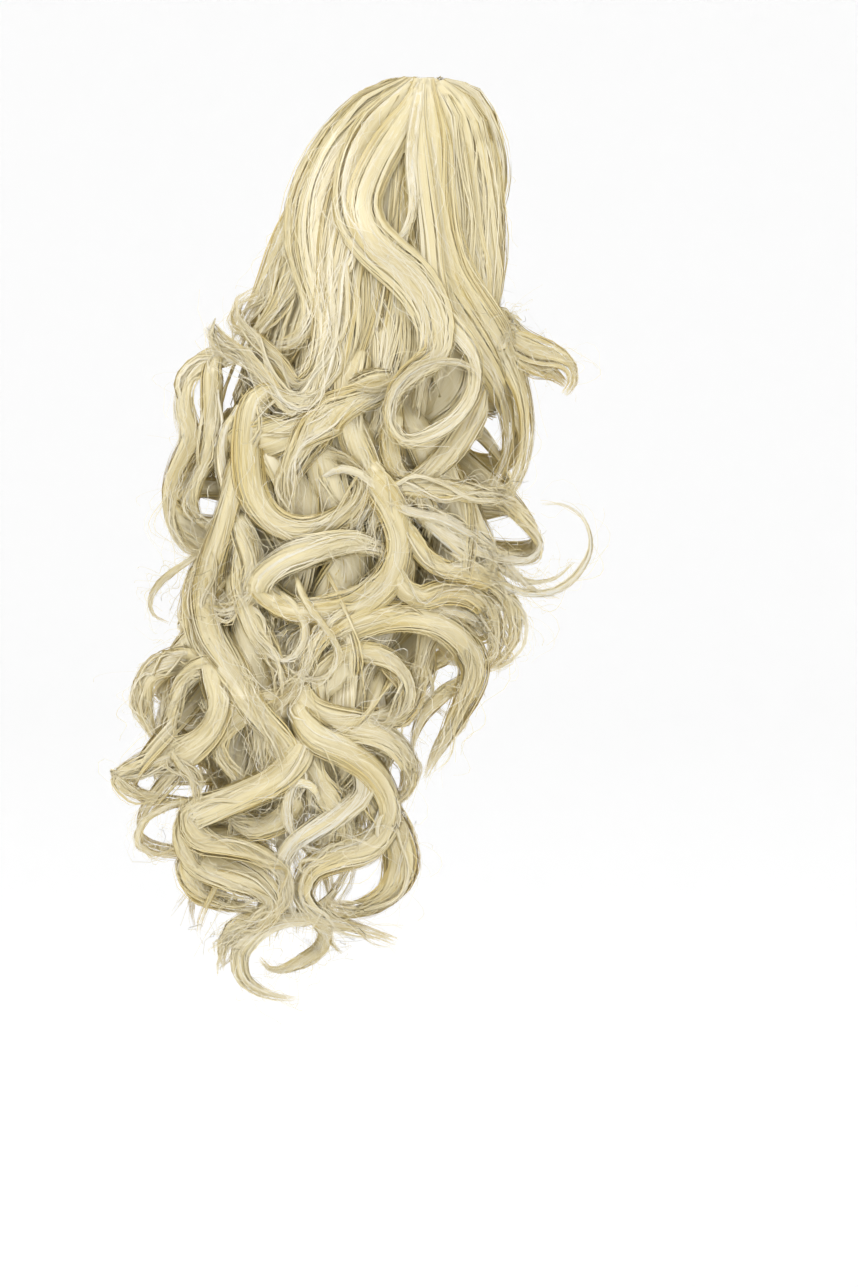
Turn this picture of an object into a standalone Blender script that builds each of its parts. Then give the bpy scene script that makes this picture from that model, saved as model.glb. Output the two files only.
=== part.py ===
"""A clip-on ponytail hairpiece of big barrel curls, as it is worn.

Frame: metres, +Z up, the wearer faces +Y. The origin is the seat on the back of the crown, in the
middle of the clip's mouth. Two pieces: the claw clip that grips the wearer's own bun, and the hair
sewn round it, whose locks rise off the clip, fold over at the crest and fall down the back.
"""

import math

import bmesh
import bpy
import numpy as np
from mathutils import Vector

# The hair as a whole
TAIL_LENGTH = 0.425  # from the crest down to the lowest tip
CREST_HEIGHT = 0.054  # of the crest above the seat
TAIL_HALF_WIDTH = 0.068  # of the ring of guide lines where the tail is widest
TAIL_HALF_DEPTH = 0.058
TAIL_BACK = 0.072  # how far behind the seat the widest part hangs
SHOW_SIDE = math.radians(55)  # the tail's broad side is turned this far from the wearer's back

# One lock
CURL_RADIUS = 0.020
CURL_SAG = 0.011  # how much lower a curl hangs on its outer side
LOCK_WIDTH = 0.019
LOCK_THICKNESS = 0.0070
LOCK_SIDES = 8
LOCK_STATIONS = 110

# The locks out of sight behind the shown ones, and those inside. Their tips are down shares.
FAR_COUNT = 15
FAR_ROUND = (math.radians(190), math.radians(350))  # where they stand on the guide ring
FAR_TIPS = (0.95, 0.68)  # from the tail's back round to its head side, where they end higher
FAR_TURNS = 3.2
INNER_COUNT = 11
INNER_SHARE = 0.62  # of the guide ring
INNER_TIPS = (0.88, 1.00)
INNER_TURNS = 3.5

# The hair that fills the middle, and how finely all of it is fused
CORE_SIDES = 24
FUSE_GRAIN = 0.0028
KEPT_FACES = 0.062

# The claw clip
CLIP_LENGTH = 0.078
CLIP_BORE = 0.0150  # inner radius of the closed jaws' round
CLIP_WALL = 0.0024
MOUTH_HALF_ANGLE = math.radians(60)
TOOTH_COUNT = 7
TOOTH_GAP = 0.0050
TOOTH_ARC = math.radians(50)  # of the slots between teeth, round the jaw from its tips
BARREL_RADIUS = 0.0036
BARREL_SIDES = 12
LEVER_LENGTH = 0.0130
LEVER_WIDTH = 0.0240
LEVER_SPREAD = math.radians(24)
CLIP_STEPS = 22

FIT_GAP = 0.0004  # between the clip and the hair sewn round it

# The head that the inner locks hang clear of
HEAD_RADII = (0.075, 0.097, 0.100)
HEAD_CENTRE = (0.0, 0.078, -0.068)
HEAD_GAP = 0.002

# The fall of a lock from the clip to its tip: how far down the tail, how far out of its middle, how
# far behind the seat, and how far out the hair inside fills it. Shares of TAIL_LENGTH, of
# TAIL_HALF_WIDTH or _DEPTH, of TAIL_BACK, and of the guide ring at that height.
FALL = (
    # down,  out,  back,  fill
    (0.120, 0.08, 0.38, 0.00),  # root on the clip
    (0.035, 0.10, 0.36, 0.00),  # rise
    (0.000, 0.20, 0.37, 0.50),  # crest
    (0.035, 0.43, 0.43, 0.86),  # brow
    (0.140, 0.70, 0.60, 0.92),  # shoulder
    (0.250, 0.86, 0.70, 0.84),  # end of the smooth dome
    (0.360, 0.97, 0.90, 0.66),
    (0.470, 1.00, 1.00, 0.60),
    (0.580, 0.93, 0.98, 0.60),
    (0.690, 0.90, 1.30, 0.58),
    (0.800, 0.73, 1.48, 0.58),
    (0.910, 0.50, 1.46, 0.55),
    (0.955, 0.36, 1.50, 0.45),
    (1.000, 0.18, 1.56, 0.00),
)
CURL_ONSET = 0.13  # the down share in which a curl comes to its full radius
MIDDLE = 0.42  # the down share at which a lock's middle place is told

# The shown side's locks, right to left. top, middle and low are the lock's place across the guide
# ring at the crest, at MIDDLE and at its tip, and toward its place out of the ring's broad side.
# start and tip are down shares of the curls, radius a share of CURL_RADIUS, width of LOCK_WIDTH.
# turns and phase are whole turns, and a minus sign winds the lock the other way.
SHOWN = (
    # name, top, middle, low, toward, start, tip, radius, width, turns, phase
    ("ear_curl", 0.95, 1.00, 1.45, 0.30, 0.23, 0.34, 0.75, 0.9, 0.8, 0.45),
    ("right_front", 0.80, 0.75, 0.55, 0.60, 0.27, 0.66, 1.00, 1.2, 2.2, 0.40),
    ("right_edge", 0.95, 0.95, 0.75, 0.25, 0.25, 0.68, 0.90, 1.2, 2.0, 0.00),
    ("right_arc", 0.45, 0.85, 0.60, 0.65, 0.12, 0.75, 1.25, 1.2, -2.3, 0.98),
    ("right_low", 0.60, 0.70, 0.50, 0.55, 0.35, 0.80, 1.10, 1.1, 2.0, 0.65),
    ("middle_s", -0.10, 0.15, 0.10, 1.00, 0.02, 0.80, 1.05, 0.9, -3.1, -0.03),
    ("middle_right", 0.35, 0.45, 0.30, 0.85, 0.30, 0.84, 1.00, 1.1, 3.0, 0.10),
    ("low_right_s", 0.20, 0.30, 0.60, 0.80, 0.45, 0.88, 1.30, 1.2, -1.9, 0.35),
    ("tip_right", 0.10, 0.30, 1.00, 0.60, 0.50, 0.91, 0.80, 1.0, 2.4, 0.81),
    ("low_tip", -0.10, -0.05, 0.00, 0.70, 0.52, 1.00, 1.00, 1.1, -3.0, 0.67),
    ("left_j", -0.60, -0.35, -0.30, 0.95, 0.15, 0.78, 1.10, 1.1, -2.7, 0.66),
    ("low_band", -0.30, -0.30, -0.43, 0.90, 0.45, 0.90, 1.20, 1.2, 2.0, 0.94),
    ("shell", -0.45, -0.40, -0.45, 0.70, 0.50, 0.93, 1.10, 1.2, -2.6, 0.25),
    ("left_bands", -0.75, -0.72, -0.55, 0.65, 0.17, 0.72, 1.05, 1.1, -2.7, 0.76),
    ("low_left", -0.60, -0.80, -1.15, 0.45, 0.40, 0.86, 1.10, 1.1, 2.1, 0.86),
    ("left_loops", -1.00, -1.05, -0.90, 0.30, 0.20, 0.80, 0.90, 0.9, 4.5, 0.54),
)


def clear_scene():
    for obj in list(bpy.data.objects):
        bpy.data.objects.remove(obj, do_unlink=True)


def material(name, colour, roughness):
    made = bpy.data.materials.new(name)
    made.use_nodes = True
    shader = made.node_tree.nodes["Principled BSDF"]
    shader.inputs["Base Color"].default_value = (*colour, 1.0)
    shader.inputs["Roughness"].default_value = roughness
    return made


def add_object(name, mesh, finish=None):
    obj = bpy.data.objects.new(name, mesh)
    bpy.context.scene.collection.objects.link(obj)
    if finish:
        mesh.materials.append(finish)
    return obj


def helper(obj):
    obj.hide_render = True
    obj.display_type = "WIRE"
    return obj


# The tail's own directions: across its broad side, and out of that side
ACROSS = np.array((math.cos(SHOW_SIDE), math.sin(SHOW_SIDE), 0.0))
TOWARD = np.array((math.sin(SHOW_SIDE), -math.cos(SHOW_SIDE), 0.0))
BACK = np.array((0.0, -1.0, 0.0))
UP = np.array((0.0, 0.0, 1.0))

# The jaws' axis in Y: their tips lie on the seat
CLIP_AXIS = -(CLIP_BORE + CLIP_WALL) * math.cos(MOUTH_HALF_ANGLE)


def spline(knots, rows, at):
    """A smooth curve through the rows, one for each knot, read at the values in at."""
    rows = np.asarray(rows, float)
    slopes = np.gradient(rows, knots, axis=0)
    i = np.clip(np.searchsorted(knots, at, side="right") - 1, 0, len(knots) - 2)
    span = (knots[i + 1] - knots[i])[:, None]
    t = ((at - knots[i])[:, None]) / span
    return (
        rows[i] * (2 * t**3 - 3 * t**2 + 1)
        + slopes[i] * span * (t**3 - 2 * t**2 + t)
        + rows[i + 1] * (3 * t**2 - 2 * t**3)
        + slopes[i + 1] * span * (t**3 - t**2)
    )


def ease(x):
    x = np.clip(x, 0.0, 1.0)
    return x * x * (3 - 2 * x)


def unit(v):
    return v / np.linalg.norm(v, axis=-1, keepdims=True)


def fall_to(tip):
    """Rows of down, out and back shares, evenly spaced along a lock that ends at the share tip."""
    rows = np.array(FALL)[:, :3]
    steps = np.diff(rows * (TAIL_LENGTH, TAIL_HALF_WIDTH, TAIL_BACK), axis=0)
    knots = np.concatenate(([0.0], np.cumsum(np.linalg.norm(steps, axis=1))))
    crest = int(np.argmin(rows[:, 0]))
    end = np.interp(tip, rows[crest:, 0], knots[crest:])
    return spline(knots, rows, np.linspace(0.0, end, LOCK_STATIONS))


def clear_of_head(points):
    """Moves what would lie in the head straight out to its surface."""
    radii = np.array(HEAD_RADII) + HEAD_GAP
    inside = (points - HEAD_CENTRE) / radii
    depth = np.linalg.norm(inside, axis=1, keepdims=True)
    return np.where(depth < 1.0, HEAD_CENTRE + inside / np.maximum(depth, 1e-6) * radii, points)


def lock_line(lock):
    """Stations down one lock: its points, the way its flat side faces, and its width there."""
    _, top, middle, low, toward, start, tip, radius, width, turns, phase = lock
    down, out, back = fall_to(tip).T
    if tip > MIDDLE:
        across = spline(np.array((0.0, MIDDLE, tip)), ((top,), (middle,), (low,)), down)[:, 0]
    else:
        across = top + (low - top) * ease((down - start) / (tip - start))
    fallen = np.arange(LOCK_STATIONS) > np.argmin(down)
    ring = (
        np.outer(across * out * TAIL_HALF_WIDTH, ACROSS)
        + np.outer(toward * out * TAIL_HALF_DEPTH, TOWARD)
    )
    height = CREST_HEIGHT - down * TAIL_LENGTH
    guide = ring + np.outer(back * TAIL_BACK, BACK) + np.outer(height, UP)
    curled = np.where(fallen, ease((down - start) / CURL_ONSET), 0.0)[:, None]
    angle = 2 * math.pi * (phase + turns * (down - start) / (tip - start))
    round_it = np.outer(np.cos(angle), ACROSS) + np.outer(np.sin(angle), TOWARD)
    outward = unit(ring + 1e-6 * TOWARD)
    sag = np.sum(round_it * outward, axis=1, keepdims=True) * CURL_SAG / CURL_RADIUS
    reach = curled * radius * CURL_RADIUS
    points = clear_of_head(guide + reach * (round_it - sag * UP))
    faces = unit(outward * (1 - curled) + round_it * curled + 1e-6 * TOWARD)
    share = np.linspace(0.0, 1.0, LOCK_STATIONS)
    taper = (0.45 + 0.55 * ease(share / 0.2)) * (1.0 - 0.60 * ease((share - 0.82) / 0.18))
    return points, faces, taper * width


def far_locks():
    """Rows like those of SHOWN, spaced round the rest of the guide ring and inside it."""
    rows = []
    places = np.linspace(*FAR_ROUND, FAR_COUNT)
    tips = np.linspace(*FAR_TIPS, FAR_COUNT)
    for k, (place, tip) in enumerate(zip(places, tips, strict=True)):
        across, toward = math.cos(place), math.sin(place)
        start = (0.28, 0.33, 0.38)[k % 3]
        turns = FAR_TURNS * (-1) ** k
        phase = 0.37 * k
        rows.append(
            (f"far_{k + 1}", across, across, across, toward, start, tip, 1.0, 1.1, turns, phase)
        )
    for k in range(INNER_COUNT):
        place = 2 * math.pi * (k + 0.5) / INNER_COUNT
        across = INNER_SHARE * math.cos(place)
        toward = INNER_SHARE * math.sin(place)
        tip = INNER_TIPS[0] + (INNER_TIPS[1] - INNER_TIPS[0]) * (k % 4) / 3
        turns = INNER_TURNS * (-1) ** k
        phase = 0.29 * k
        rows.append(
            (f"inner_{k + 1}", across, across, across, toward, 0.40, tip, 1.1, 1.2, turns, phase)
        )
    return rows


def all_locks():
    """Every lock as (name, points, faces, width share)."""
    return [(lock[0], *lock_line(lock)) for lock in (*SHOWN, *far_locks())]


def add_tube(bm, rings):
    """A closed body through rings of points, each with as many points as the next."""
    loops = [[bm.verts.new(p) for p in ring] for ring in rings]
    for one, two in zip(loops, loops[1:], strict=False):
        for i in range(len(one)):
            j = (i + 1) % len(one)
            bm.faces.new((one[i], one[j], two[j], two[i]))
    bm.faces.new(list(reversed(loops[0])))
    bm.faces.new(loops[-1])


def lock_rings(points, faces, taper):
    along = unit(np.gradient(points, axis=0))
    side = unit(np.cross(along, faces))
    out = np.cross(side, along)
    turn = np.linspace(0, 2 * math.pi, LOCK_SIDES, endpoint=False)
    rings = []
    for p, s, o, t in zip(points, side, out, taper, strict=True):
        half_width = LOCK_WIDTH / 2 * t
        half_thick = LOCK_THICKNESS / 2 * min(1.0, 0.4 + 0.6 * t)
        ring = p + np.outer(np.cos(turn) * half_width, s) + np.outer(np.sin(turn) * half_thick, o)
        rings.append(ring)
    return rings


def core_rings():
    """Sections of the hair inside the tail, from the crest to where only locks go on."""
    turn = np.linspace(0, 2 * math.pi, CORE_SIDES, endpoint=False)
    rings = []
    for down, out, back, fill in FALL:
        if fill:
            ring = (
                np.outer(np.cos(turn) * fill * out * TAIL_HALF_WIDTH, ACROSS)
                + np.outer(np.sin(turn) * fill * out * TAIL_HALF_DEPTH, TOWARD)
                + back * TAIL_BACK * BACK
                + (CREST_HEIGHT - down * TAIL_LENGTH) * UP
            )
            rings.append(clear_of_head(ring))
    return rings


def clip_arc(radius, from_angle, to_angle, steps=CLIP_STEPS):
    """Points in X and Y on a round about the jaws' axis, with angles told from the mouth."""
    angles = [from_angle + (to_angle - from_angle) * i / steps for i in range(steps + 1)]
    return [(radius * math.sin(a), CLIP_AXIS + radius * math.cos(a)) for a in angles]


def extruded(name, outline, length, finish=None):
    """A solid with that outline in X and Y, and that length about the middle of Z."""
    bm = bmesh.new()
    face = bm.faces.new([bm.verts.new((x, y, -length / 2)) for x, y in outline])
    pushed = bmesh.ops.extrude_face_region(bm, geom=[face])
    moved = [v for v in pushed["geom"] if isinstance(v, bmesh.types.BMVert)]
    bmesh.ops.translate(bm, verts=moved, vec=(0, 0, length))
    bmesh.ops.recalc_face_normals(bm, faces=bm.faces)
    mesh = bpy.data.meshes.new(name)
    bm.to_mesh(mesh)
    bm.free()
    return add_object(name, mesh, finish)


def boolean(obj, operation, other):
    modifier = obj.modifiers.new(operation.title(), "BOOLEAN")
    modifier.operation = operation
    modifier.object = other
    modifier.solver = "EXACT"


def lever_outline(side):
    """One finger lever: a plate that stands off the back of the clip, seen from its end."""
    away = math.pi - side * LEVER_SPREAD
    ray = Vector((math.sin(away), math.cos(away)))
    half = Vector((ray.y, -ray.x)) * CLIP_WALL / 2
    root = Vector((0, CLIP_AXIS)) + ray * (CLIP_BORE + CLIP_WALL / 2)
    end = root + ray * LEVER_LENGTH
    return [root - half, end - half, end + half, root + half]


def build_clip(finish):
    """The claw clip, one piece: toothed jaws round a bun, the barrel behind them and two levers."""
    back = 2 * math.pi - MOUTH_HALF_ANGLE
    jaws = clip_arc(CLIP_BORE + CLIP_WALL, MOUTH_HALF_ANGLE, back)
    jaws += clip_arc(CLIP_BORE, back, MOUTH_HALF_ANGLE)
    clip = extruded("clip", jaws, CLIP_LENGTH, finish)
    spine = CLIP_AXIS - CLIP_BORE - CLIP_WALL
    turns = [2 * math.pi * i / BARREL_SIDES for i in range(BARREL_SIDES)]
    barrel = [
        (BARREL_RADIUS * math.sin(turn), spine + BARREL_RADIUS * math.cos(turn)) for turn in turns
    ]
    boolean(clip, "UNION", helper(extruded("barrel_form", barrel, LEVER_WIDTH)))
    for side in (-1, 1):
        lever = extruded(f"lever_form_{side}", lever_outline(side), LEVER_WIDTH)
        boolean(clip, "UNION", helper(lever))
    for k in range(1, TOOTH_COUNT):
        for side in (-1, 1):
            first = side * (MOUTH_HALF_ANGLE - TOOTH_ARC / 4)
            last = side * (MOUTH_HALF_ANGLE + TOOTH_ARC)
            outline = clip_arc(CLIP_BORE - CLIP_WALL, first, last, 6)
            outline += clip_arc(CLIP_BORE + 2 * CLIP_WALL, last, first, 6)
            slot = helper(extruded(f"slot_form_{k}_{side}", outline, TOOTH_GAP))
            slot.location.z = (k / TOOTH_COUNT - 0.5) * CLIP_LENGTH
            boolean(clip, "DIFFERENCE", slot)
    return clip


def clip_rooms():
    """What the hair leaves clear: the clip's round and the way to the head, and its levers."""
    outer = CLIP_BORE + CLIP_WALL + FIT_GAP
    front = HEAD_RADII[1]
    outline = [*clip_arc(outer, math.pi / 2, 3 * math.pi / 2), (-outer, front), (outer, front)]
    room = extruded("clip_room", outline, CLIP_LENGTH + 2 * FIT_GAP)
    reach = CLIP_BORE + CLIP_WALL / 2 + LEVER_LENGTH
    deep = CLIP_AXIS - reach * math.cos(LEVER_SPREAD) - CLIP_WALL / 2 - FIT_GAP
    half = reach * math.sin(LEVER_SPREAD) + CLIP_WALL / 2 + FIT_GAP
    corners = [(half, CLIP_AXIS), (half, deep), (-half, deep), (-half, CLIP_AXIS)]
    lever_room = extruded("lever_room", corners, LEVER_WIDTH + 2 * FIT_GAP)
    return helper(room), helper(lever_room)


def fused(name, mesh):
    """The outer skin of a mesh of crossing closed bodies, without the pockets sealed inside it."""
    form = add_object(name, mesh)
    fuse = form.modifiers.new("Fuse", "REMESH")
    fuse.mode = "VOXEL"
    fuse.voxel_size = FUSE_GRAIN
    fewer = form.modifiers.new("Fewer", "DECIMATE")
    fewer.ratio = KEPT_FACES
    result = bpy.data.meshes.new_from_object(form.evaluated_get(bpy.context.evaluated_depsgraph_get()))
    bpy.data.objects.remove(form, do_unlink=True)
    bm = bmesh.new()
    bm.from_mesh(result)
    left = set(bm.verts)
    bodies = []
    while left:
        body = {left.pop()}
        edge = list(body)
        while edge:
            near = {e.other_vert(v) for v in edge for e in v.link_edges} - body
            body |= near
            edge = list(near)
        left -= body
        bodies.append(body)
    outer = max(bodies, key=len)
    bmesh.ops.delete(bm, geom=[v for v in bm.verts if v not in outer], context="VERTS")
    bm.to_mesh(result)
    bm.free()
    return result


def build_hair(finish):
    """All locks and the hair inside them, fused into one body with room for the clip."""
    bm = bmesh.new()
    for _, points, faces, taper in all_locks():
        add_tube(bm, lock_rings(points, faces, taper))
    add_tube(bm, core_rings())
    bmesh.ops.recalc_face_normals(bm, faces=bm.faces)
    loose = bpy.data.meshes.new("loose_hair")
    bm.to_mesh(loose)
    bm.free()
    hair = add_object("hair", fused("fused_hair", loose), finish)
    for room in clip_rooms():
        boolean(hair, "DIFFERENCE", room)
    return hair


def main():
    clear_scene()
    build_clip(material("clip_plastic", (0.62, 0.53, 0.32), 0.4))
    build_hair(material("blonde_fibre", (0.82, 0.74, 0.47), 0.5))


main()
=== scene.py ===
"""A curled blonde clip-on ponytail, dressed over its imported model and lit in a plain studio."""

import math

import bmesh
import bpy
import numpy as np
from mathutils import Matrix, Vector


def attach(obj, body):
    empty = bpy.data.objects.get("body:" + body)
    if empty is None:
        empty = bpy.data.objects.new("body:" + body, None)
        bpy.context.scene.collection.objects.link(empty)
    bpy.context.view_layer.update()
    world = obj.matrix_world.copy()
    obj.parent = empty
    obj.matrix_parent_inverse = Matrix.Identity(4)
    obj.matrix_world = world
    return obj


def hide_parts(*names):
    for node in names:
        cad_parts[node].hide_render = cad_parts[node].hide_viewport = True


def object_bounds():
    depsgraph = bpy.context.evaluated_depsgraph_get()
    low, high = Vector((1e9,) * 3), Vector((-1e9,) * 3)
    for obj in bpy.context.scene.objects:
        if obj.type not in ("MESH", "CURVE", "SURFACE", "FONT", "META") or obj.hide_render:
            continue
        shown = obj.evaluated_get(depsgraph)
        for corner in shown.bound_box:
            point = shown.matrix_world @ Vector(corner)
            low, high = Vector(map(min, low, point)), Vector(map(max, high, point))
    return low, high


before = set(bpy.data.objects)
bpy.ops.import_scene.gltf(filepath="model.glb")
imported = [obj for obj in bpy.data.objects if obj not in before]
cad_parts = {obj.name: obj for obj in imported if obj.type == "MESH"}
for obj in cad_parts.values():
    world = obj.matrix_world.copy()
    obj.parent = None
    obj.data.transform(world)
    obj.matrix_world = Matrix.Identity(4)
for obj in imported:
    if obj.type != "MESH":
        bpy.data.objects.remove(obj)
packed_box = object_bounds()


# The claw clip: a pair of toothed jaws, injection-moulded in honey-coloured cellulose acetate and
# tumbled to a gloss. The jaws close round the wearer's bun, and the hair is sewn round the outside.

CLIP_HONEY = "#A98B55"
CLIP_AMBER = "#7A5A2C"
CLIP_SWIRL = 0.011  # metres from one swirl of the acetate to the next


def linear(hex_colour):
    """An sRGB hex colour as linear red, green, blue and an opaque alpha."""
    parts = [int(hex_colour[i : i + 2], 16) / 255 for i in (1, 3, 5)]
    return (*[c / 12.92 if c <= 0.04045 else ((c + 0.055) / 1.055) ** 2.4 for c in parts], 1.0)


def node(tree, kind, settings=None, **links):
    """Adds a node with its settings and input values, and links sockets into its inputs."""
    made = tree.nodes.new(kind)
    for name, value in (settings or {}).items():
        if name in made.inputs:
            made.inputs[name].default_value = value
        else:
            setattr(made, name, value)
    for name, socket in links.items():
        tree.links.new(socket, made.inputs[name.replace("_", " ")])
    return made


def new_material(name):
    """A material with an empty Principled shader, as (material, its tree, its shader)."""
    made = bpy.data.materials.new(name)
    made.use_nodes = True
    return made, made.node_tree, made.node_tree.nodes["Principled BSDF"]


def ramp_of(tree, factor, stops):
    """A colour ramp through (place, hex colour) stops, driven by a socket."""
    ramp = node(tree, "ShaderNodeValToRGB", Fac=factor)
    band = ramp.color_ramp
    band.elements[0].position, band.elements[-1].position = stops[0][0], stops[-1][0]
    band.elements[0].color, band.elements[-1].color = linear(stops[0][1]), linear(stops[-1][1])
    for place, colour in stops[1:-1]:
        band.elements.new(place).color = linear(colour)
    return ramp.outputs["Color"]


acetate, tree, shader = new_material("tumbled_acetate")
where = node(tree, "ShaderNodeTexCoord").outputs["Object"]
swirl = node(
    tree, "ShaderNodeTexNoise", {"Scale": 1 / CLIP_SWIRL, "Detail": 3.0, "Distortion": 1.2}, Vector=where
).outputs["Fac"]
amber = ramp_of(tree, swirl, [(0.35, CLIP_AMBER), (0.62, CLIP_HONEY)])
tree.links.new(amber, shader.inputs["Base Color"])
shader.inputs["Roughness"].default_value = 0.22
shader.inputs["IOR"].default_value = 1.49

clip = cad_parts["clip"]
clip.data.materials.clear()
clip.data.materials.append(acetate)


# The locks: heat-set polyester hair fibre, combed smooth over the clip and set round a barrel below
# it. Each lock is a bundle whose fibres cling together. These are the bodies of the bundles, a
# little slimmer than the locks, and the fibres laid on them come next.

TAIL_LENGTH = 0.428
CREST_HEIGHT = 0.061
TAIL_HALF_WIDTH = 0.068
TAIL_HALF_DEPTH = 0.058
TAIL_BACK = 0.072
SHOW_SIDE = math.radians(55)
PIXEL = 0.00048  # metres that one pixel of the frame covers at the tail
FRAME_PIXELS = (858, 1287)
SEAT_PIXEL = (470, 200)
HEAD_RADII = np.array((0.077, 0.099, 0.102))
HEAD_CENTRE = np.array((0.0, 0.078, -0.068))
STAND_OFF = 3  # pixels by which the shown locks stand off the hair under them
CREST_ROW = 100  # routes that start above this row start in the crest
SUNK_START = 16  # pixels by which any other lock starts inside the tail
SMOOTHING = 15  # stations over which a route's depth is evened out
CLIP_ROOM = (0.0195, 0.0415)  # half the width and half the height that the clip and bun need
PARTING_BEHIND = 0.040  # how far behind the seat the hair starts to part for them
PARTING_EASE = (0.012, 0.030)  # lengths over which the parting sets in, forward and up

ACROSS = np.array((math.cos(SHOW_SIDE), math.sin(SHOW_SIDE), 0.0))
TOWARD = np.array((math.sin(SHOW_SIDE), -math.cos(SHOW_SIDE), 0.0))
BACK = np.array((0.0, -1.0, 0.0))
UP = np.array((0.0, 0.0, 1.0))

FALL = np.array(
    (
        # down,  out,  back
        (0.016, 0.00, 0.41),  # inside the crest
        (0.000, 0.09, 0.41),  # crest
        (0.005, 0.26, 0.43),
        (0.018, 0.39, 0.46),
        (0.040, 0.51, 0.50),  # brow
        (0.070, 0.62, 0.54),
        (0.140, 0.72, 0.62),  # shoulder
        (0.250, 0.86, 0.71),  # end of the smooth dome
        (0.360, 0.97, 0.90),
        (0.470, 1.00, 1.00),
        (0.580, 0.93, 0.98),
        (0.690, 0.90, 1.30),
        (0.800, 0.73, 1.48),
        (0.910, 0.50, 1.46),
        (0.955, 0.36, 1.50),
        (1.000, 0.18, 1.56),
    )
)

LOCKS_OF_DOME = (
    # name, width, over, tip over, route: all in pixels, the route right and down in the frame
    ("left_rim", 28, -6, 4, ((406, 79), (386, 92), (358, 118), (330, 152), (313, 186), (306, 218),
        (307, 250), (314, 285), (313, 314), (298, 336), (276, 342))),
    ("left_sleek", 30, -2, 4, ((411, 77), (392, 92), (364, 122), (340, 156), (326, 192), (320, 228),
        (322, 265), (328, 302), (325, 338), (312, 362), (294, 372))),
    ("crown_left", 32, -5, 0, ((412, 78), (386, 98), (352, 140), (332, 190), (334, 240), (342, 290),
        (346, 330), (340, 366), (326, 396))),
    ("crown_fall", 36, -9, -4, ((418, 76), (398, 110), (382, 160), (374, 214), (376, 268), (384, 318),
        (388, 362), (384, 404), (370, 440))),
    ("s_left", 20, 4, 14, ((415, 75), (396, 94), (370, 124), (353, 160), (349, 195), (356, 224),
        (374, 248), (398, 270), (418, 296), (428, 326), (424, 352), (404, 372), (378, 384), (350, 380))),
    ("s_right", 22, 6, 18, ((420, 74), (412, 100), (394, 132), (374, 168), (364, 200), (370, 226),
        (390, 249), (414, 270), (432, 298), (440, 328), (436, 352), (414, 366), (395, 388), (390, 412),
        (399, 432), (420, 440), (444, 432))),
    ("crown_wisp", 7, 8, 12, ((422, 73), (414, 120), (411, 165), (414, 200), (408, 225), (394, 242),
        (386, 262))),
    ("crown_middle", 34, -8, -3, ((424, 74), (420, 120), (412, 170), (408, 220), (412, 270), (420, 320),
        (424, 364), (416, 404))),
    ("right_inner_sheet", 28, -2, 0, ((430, 74), (438, 104), (443, 140), (448, 180), (453, 216),
        (457, 250), (464, 284), (478, 312))),
    ("right_sheet", 34, 0, -4, ((436, 78), (449, 98), (459, 130), (465, 170), (470, 210), (474, 250),
        (478, 285), (481, 315), (474, 345))),
    ("right_rim", 28, -4, -8, ((442, 82), (457, 98), (468, 126), (477, 162), (481, 200), (485, 240),
        (489, 275), (489, 308), (480, 336))),
    ("right_edge", 26, -12, -12, ((440, 76), (458, 90), (473, 108), (483, 134), (488, 170), (489, 210),
        (488, 250))),
    ("right_diagonal", 26, 4, 8, ((427, 74), (430, 112), (432, 150), (435, 195), (441, 235), (452, 270),
        (471, 302), (494, 334), (513, 366), (524, 400), (526, 435), (519, 468), (506, 490), (484, 500))),
    ("right_underfall", 24, 0, 6, ((425, 75), (425, 120), (425, 160), (428, 210), (434, 255), (446, 292),
        (466, 325), (487, 358), (502, 392), (508, 426), (504, 458), (490, 482))),
)

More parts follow.
